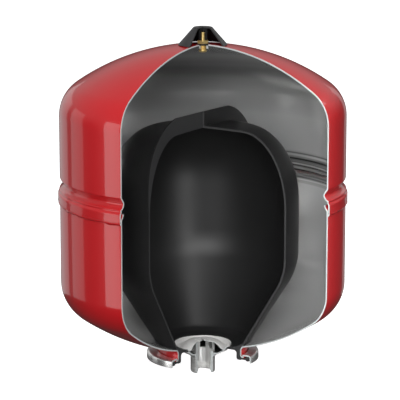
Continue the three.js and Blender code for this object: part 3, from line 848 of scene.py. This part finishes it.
def valve_body():
    """Turned right round: foot, threaded shank, hexagon and stem."""
    corner = HEX_FLATS / 2 / math.cos(math.radians(30))
    screw_heights = np.arange(VALVE_COLLAR_TOP + 0.6, HEX_BOTTOM - 0.2, VALVE_PITCH / 10)
    screw = [(VALVE_THREAD_R, z) for z in screw_heights]
    face = [(corner, z) for z in np.linspace(HEX_BOTTOM, HEX_TOP, 15)]
    outline = [(VALVE_PASSAGE_R, VALVE_FOOT), (4, VALVE_FOOT), (VALVE_COLLAR_R - 0.2, VALVE_FOOT + 1.4),
               (VALVE_COLLAR_R, VALVE_FOOT + 1.8), (VALVE_COLLAR_R, VALVE_COLLAR_TOP - 0.2),
               (VALVE_COLLAR_R - 0.2, VALVE_COLLAR_TOP), (VALVE_THREAD_R - 0.6, VALVE_COLLAR_TOP),
               (VALVE_THREAD_R - 0.6, VALVE_COLLAR_TOP + 0.5)]
    outline += screw + [(VALVE_THREAD_R - 0.4, HEX_BOTTOM)] + face
    outline += [(STEM_R + 0.5, HEX_TOP)] + arc(STEM_R + 0.5, HEX_TOP + 0.5, 0.5, 270, 180, 4)[1:]
    outline += [(STEM_R, STEM_TOP - STEM_HEAD - 0.3), (STEM_HEAD_R - 0.1, STEM_TOP - STEM_HEAD),
                (STEM_HEAD_R, STEM_TOP - STEM_HEAD + 0.15), (STEM_HEAD_R, STEM_TOP - 0.5)]
    outline += arc(STEM_HEAD_R - 0.4, STEM_TOP - 0.4, 0.4, 0, 90, 4)[1:]
    outline += [(VALVE_BORE_R + 0.2, STEM_TOP), (VALVE_BORE_R, STEM_TOP - 0.25),
                (VALVE_BORE_R, VALVE_SHOULDER), (VALVE_PASSAGE_R, VALVE_SHOULDER)]
    thread = helix(VALVE_THREAD_R, VALVE_DEPTH, VALVE_PITCH, VALVE_COLLAR_TOP + 0.4, HEX_BOTTOM - 0.2,
                   run_out=0.7)

    def hexagon(r, z, azimuth):
        r, z = thread(r, z, azimuth)
        off = abs((azimuth - CUT_TO) % 60 - 30)
        flat = HEX_FLATS / 2 / math.cos(math.radians(off))
        chamfer = HEX_FLATS / 2 - 0.1 + np.minimum(z - HEX_BOTTOM, HEX_TOP - z) * 1.9
        on_face = r > VALVE_COLLAR_R + 0.5
        return np.where(on_face, np.minimum(flat, np.minimum(r, chamfer)), r), z
    return turned("valve_stem", outline, BRASS, 96, shape=hexagon, whole=True)


def small_ring(name, inner, outer, bottom, top, material):
    corners = [(inner, bottom), (outer, bottom), (outer, top), (inner, top)]
    return turned(name, rounded([(r, z, 0.2) for r, z in corners]), material, 48, whole=True)


def valve_seal():
    z = (BOSS_TOP + HEX_BOTTOM) / 2
    ring = arc(VALVE_THREAD_R + 1.4, z, 0.9, 0, 360, 20)[:-1]
    return turned("seal_ring", ring, SEAL, 64, whole=True)


def core_housing():
    """The core's threaded plug."""
    inner, outer = PIN_R + 0.4, VALVE_BORE_R - GAP
    screw = [(outer, z) for z in np.arange(PLUG_BOTTOM + 3.2, PLUG_TOP - 0.3, PLUG_PITCH / 10)]
    outline = [(inner, PLUG_BOTTOM), (outer - 0.25, PLUG_BOTTOM), (outer - 0.1, PLUG_BOTTOM + 0.3),
               (outer - 0.1, PLUG_BOTTOM + 3)]
    outline += screw + [(outer - 0.2, PLUG_TOP), (inner, PLUG_TOP)]
    thread = helix(outer, PLUG_DEPTH, PLUG_PITCH, PLUG_BOTTOM + 3.1, PLUG_TOP, run_out=0.4)
    return turned("core_plug", outline, BRASS, 60, shape=thread, whole=True)


def core_pin():
    outline = [(0, PIN_BOTTOM), (PIN_R - 0.2, PIN_BOTTOM), (PIN_R, PIN_BOTTOM + 0.3)]
    outline += [(PIN_R, PIN_TOP - 0.35)] + arc(PIN_R - 0.3, PIN_TOP - 0.3, 0.3, 0, 90, 4) + [(0, PIN_TOP)]
    return turned("pin", outline, BRASS, 32, whole=True)


def core_spring():
    """An open coil of round wire, with its ends closed by small domes."""
    wire = SPRING_WIRE_R
    bottom, top = SPRING_BOTTOM + wire, SPRING_TOP - wire
    steps, dome_steps = SPRING_TURNS * 32, 3
    slope = (top - bottom) / SPRING_TURNS / (2 * math.pi * SPRING_R)
    stations = []
    for i in range(-dome_steps, steps + dome_steps + 1):
        t = min(max(i, 0), steps) / steps
        beyond = abs(i - t * steps) / dome_steps
        thickness = wire * max(math.sqrt(max(0.0, 1 - beyond ** 2)), 0.02)
        out, round_ = direction(t * SPRING_TURNS * 360)
        along = round_ + slope * UP
        along /= np.linalg.norm(along)
        up = np.cross(out, along)
        centre = out * SPRING_R + (bottom + t * (top - bottom)) * UP
        centre = centre + along * math.copysign(beyond * wire, i)
        angles = np.linspace(0, 2 * math.pi, 10, endpoint=False)
        stations.append([centre + thickness * (math.cos(a) * out + math.sin(a) * up) for a in angles])
    return swept("coil_spring", stations, (ZINC,))


# ---------------------------------------------------------------- protective cap


def cap_shell():
    """A hollow cone. Its base and its inside have BLACK_INSIDE, painted shade darker than its outside."""
    slope = (CAP_BASE_R - CAP_TOP_R) / (CAP_TOP - 0.8 - CAP_BASE)
    across = CAP_WALL * math.hypot(1, slope)
    ceiling = CAP_TOP - CAP_WALL
    inner_base = CAP_BASE_R - across
    inner_top = inner_base - slope * (ceiling - CAP_BASE)
    outline = rounded([
        (0, CAP_TOP), (CAP_TOP_R - 0.4, CAP_TOP, 2.2), (CAP_BASE_R, CAP_BASE, 0.5),
        (inner_base, CAP_BASE, 0.4), (inner_top, ceiling, 1.0), (0, ceiling),
    ], 8)
    return turned("cap_cone", outline, (BLACK_PLASTIC, BLACK_CUT, BLACK_INSIDE), 150,
                  zone=lambda k: outline[k][1] <= CAP_BASE + 0.1 or k > len(outline) // 2)


def cap_sleeve():
    """The socket that grips the head of the valve's stem."""
    top = CAP_TOP - CAP_WALL - GAP
    bore = STEM_HEAD_R + 0.35
    ceiling = STEM_TOP + 1.8
    outline = rounded([
        (0, top), (SLEEVE_R, top, 2.4), (SLEEVE_R, HEX_TOP + 0.6, 0.4),
        (bore, HEX_TOP + 0.6, 0.5), (bore, ceiling, 0.3), (0, ceiling),
    ], 6)
    # The whole sleeve has BLACK_INSIDE, painted shade.
    return turned("cap_tube", outline, (BLACK_INSIDE, BLACK_INSIDE), 72)


# ---------------------------------------------------------------- the pieces and their bodies

place(upper_shell(), "vessel", "upper_shell")
place(lower_shell(), "vessel", "lower_shell")
place(seam_weld(), "vessel", "seam_weld")
place(flange_ring(), "vessel", "flange_ring")
place(bladder(), "vessel", "bladder")
place(connector_tube(), "vessel", "connector_tube")
place(bore_insert(), "vessel", "bore_insert")
place(diffuser_disc(), "vessel", "diffuser_disc")
place(support_cone(), "vessel", "support_cone")
place(cone_weld(), "vessel", "cone_weld")
place(valve_boss(), "vessel", "valve_boss")
place(valve_body(), "vessel", "valve_body")
place(valve_seal(), "vessel", "valve_seal")
place(core_housing(), "vessel", "core_housing")
washer = small_ring("core_washer", PIN_R + 0.5, VALVE_BORE_R - GAP, WASHER_BOTTOM, WASHER_TOP, WHITE_PLASTIC)
place(washer, "vessel", "core_gasket")
spring = place(core_spring(), "vessel", "core_spring")
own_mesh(spring)
poppet = small_ring("poppet", PIN_R + GAP, POPPET_R, POPPET_BOTTOM, POPPET_TOP, SEAL)
place(poppet, "valve_core", "core_poppet")
place(core_pin(), "valve_core", "core_pin")
place(cap_shell(), "cap", "cap_shell")
place(cap_sleeve(), "cap", "cap_sleeve")

# ---------------------------------------------------------------- studio

CAMERA_PLACE = (-0.003744, -3.0003, 0.8461)     # metres
CAMERA_PITCH = 0.20066                          # radians below the horizon
CAMERA_LENS, CAMERA_SENSOR = 206.76, 36         # mm
AIM = Vector((0, 0, 0.25))                      # what the lights point at, in metres
RIGHT_WALL = Vector((0.150, 0.080, 0.150))      # inside the shell, right of the bag, in metres
FLOOR_REACH, FLOOR_BEND, FLOOR_HEIGHT = 9000.0, 2000.0, 5000.0
FLOOR_THICKNESS = 10.0
SKY_FADE = (-0.05, 0.35)                        # heights of a direction between which the sky lightens
SKY_STRENGTH = (0.04, 0.32)


def camera():
    data = bpy.data.cameras.new("camera")
    data.sensor_width = CAMERA_SENSOR
    data.lens = CAMERA_LENS
    obj = bpy.data.objects.new("camera", data)
    obj.location = CAMERA_PLACE
    obj.rotation_euler = (math.pi / 2 - CAMERA_PITCH, 0, 0)
    bpy.context.scene.collection.objects.link(obj)
    bpy.context.scene.camera = obj


def softbox(name, azimuth, elevation, distance, width, height, radiance, aim=AIM, spread=180, round_=False):
    """An area light that faces its aim, with angles in degrees and sizes in metres. radiance is how
    bright its surface looks, and spread its beam."""
    data = bpy.data.lights.new(name, "AREA")
    data.shape = "ELLIPSE" if round_ else "RECTANGLE"
    data.size = width
    data.size_y = height
    data.spread = math.radians(spread)
    data.energy = radiance * math.pi * width * height * (math.pi / 4 if round_ else 1)
    obj = bpy.data.objects.new(name, data)
    a, e = math.radians(azimuth), math.radians(elevation)
    out = Vector((math.sin(a) * math.cos(e), -math.cos(a) * math.cos(e), math.sin(e)))
    obj.location = aim + out * distance
    obj.rotation_euler = out.to_track_quat("Z", "Y").to_euler()
    obj.visible_camera = False
    bpy.context.scene.collection.objects.link(obj)


def floor():
    """A large pale floor whose edge curves up into a wall. It glows, but throws no light on the object."""
    n = Nodes("studio_floor")
    grain = n.noise(3, 2)
    n.surface(Base_Color=n.mix(grain, grey(0.86), grey(0.88)), Roughness=0.9)
    n.surface(Emission_Color=(1, 1, 1, 1), Emission_Strength=0.97)
    flat, back = FLOOR_REACH - FLOOR_BEND, FLOOR_REACH + FLOOR_THICKNESS
    outline = [(0, 0), (FLOOR_BEND, 0), (flat, 0)] + arc(flat, FLOOR_BEND, FLOOR_BEND, -90, 0, 12)
    outline += [(FLOOR_REACH, FLOOR_HEIGHT), (back, FLOOR_HEIGHT), (back, -FLOOR_THICKNESS),
                (0, -FLOOR_THICKNESS)]
    obj = turned("studio_floor", outline, n.material, 96, whole=True)
    obj.visible_diffuse = False
    obj.visible_glossy = False
    obj.visible_shadow = False


def world():
    """Dim sky for reflections, dark below the horizon."""
    sky = bpy.data.worlds.new("studio")
    sky.use_nodes = True
    bpy.context.scene.world = sky
    tree = sky.node_tree
    background = tree.nodes["Background"]
    towards = tree.nodes.new("ShaderNodeTexCoord").outputs["Generated"]
    parts = tree.nodes.new("ShaderNodeSeparateXYZ")
    tree.links.new(towards, parts.inputs[0])
    ramp = tree.nodes.new("ShaderNodeMapRange")
    ramp.interpolation_type = "SMOOTHSTEP"
    tree.links.new(parts.outputs[2], ramp.inputs[0])
    for socket, number in zip(list(ramp.inputs)[1:5], (*SKY_FADE, *SKY_STRENGTH)):
        socket.default_value = number
    tree.links.new(ramp.outputs[0], background.inputs["Strength"])
    background.inputs["Color"].default_value = (1, 1, 1, 1)


camera()
floor()
world()

# name, azimuth, elevation, distance, width, height, radiance
softbox("front", -11, 24, 2.0, 1.1, 1.0, 4.5)
softbox("strip", 22, 38, 1.9, 0.30, 1.3, 6.0)
softbox("low_strip", 22, -12, 1.7, 0.28, 0.5, 9.0)
softbox("low_front", -22, -8, 1.7, 0.8, 0.95, 1.7)
softbox("opening", -4, 16, 0.42, 0.10, 0.45, 1.1, aim=RIGHT_WALL, spread=60)
softbox("right", 96, -4, 1.7, 0.9, 1.05, 1.6)
softbox("right_high", 108, 36, 1.9, 1.2, 0.8, 1.2)
softbox("left_edge", -73, -2, 1.7, 0.42, 1.15, 2.2)
softbox("left", -114.5, -2, 1.7, 0.57, 1.15, 0.55)
softbox("left_back", -146, -2, 1.7, 0.85, 1.15, 0.45)
softbox("right_back", 154, -2, 1.7, 0.25, 1.15, 0.35)
softbox("overhead", -10, 84, 1.8, 0.9, 0.9, 3.2, round_=True)
softbox("spot", -60, 66, 1.8, 0.25, 0.25, 4.0, round_=True)
bpy.context.scene.view_settings.view_transform = "Standard"
